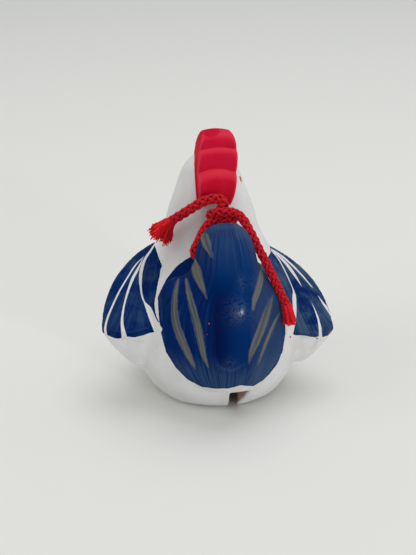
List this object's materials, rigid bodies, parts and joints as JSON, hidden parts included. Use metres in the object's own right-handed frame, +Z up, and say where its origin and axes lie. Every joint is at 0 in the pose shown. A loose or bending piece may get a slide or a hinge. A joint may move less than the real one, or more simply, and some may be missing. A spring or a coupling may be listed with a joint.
{
  "type": "clay rooster bell",
  "caption": "Hollow clay rattle bell in the form of a rooster, with a slit base, a loose pellet inside and a braided hanging cord tied through the tail.",
  "frame": {"origin": "on the table, midway between wing tips and midway between tail and beak tip", "axes": "+Z up, +Y towards the beak, +X towards the bird's right wing"},
  "size_m": [0.069, 0.0628, 0.075],
  "materials": {
    "white_clay": "matte chalk-white paint on fired clay",
    "navy_clay": "brushed navy-blue paint with olive stripes on fired clay",
    "red_clay": "matte red paint on fired clay",
    "ochre_clay": "matte ochre paint on fired clay",
    "bare_clay": "bare fired clay",
    "red_cord": "braided cord with frayed ends"
  },
  "bodies": {
    "bird": {"left_body_half": "white_clay", "right_body_half": "white_clay", "tail": "navy_clay", "left_wing": "navy_clay", "right_wing": "navy_clay", "comb": "red_clay", "beak": "ochre_clay", "left_wattle": "red_clay", "right_wattle": "red_clay", "cord_loop": "red_cord", "cord_knot": "red_cord", "cord_left_end": "red_cord", "cord_right_end": "red_cord", "left_frayed_tip": "red_cord", "right_frayed_tip": "red_cord"},
    "pellet": {"rattle_pellet": "bare_clay"}
  },
  "joints": [
    {"name": "pellet_roll", "type": "hinge", "parent": "bird", "child": "pellet", "pos_m": [0.0022, 0, 0.0255], "axis": [1, 0, 0], "range_deg": [-60, 60]}
  ]
}
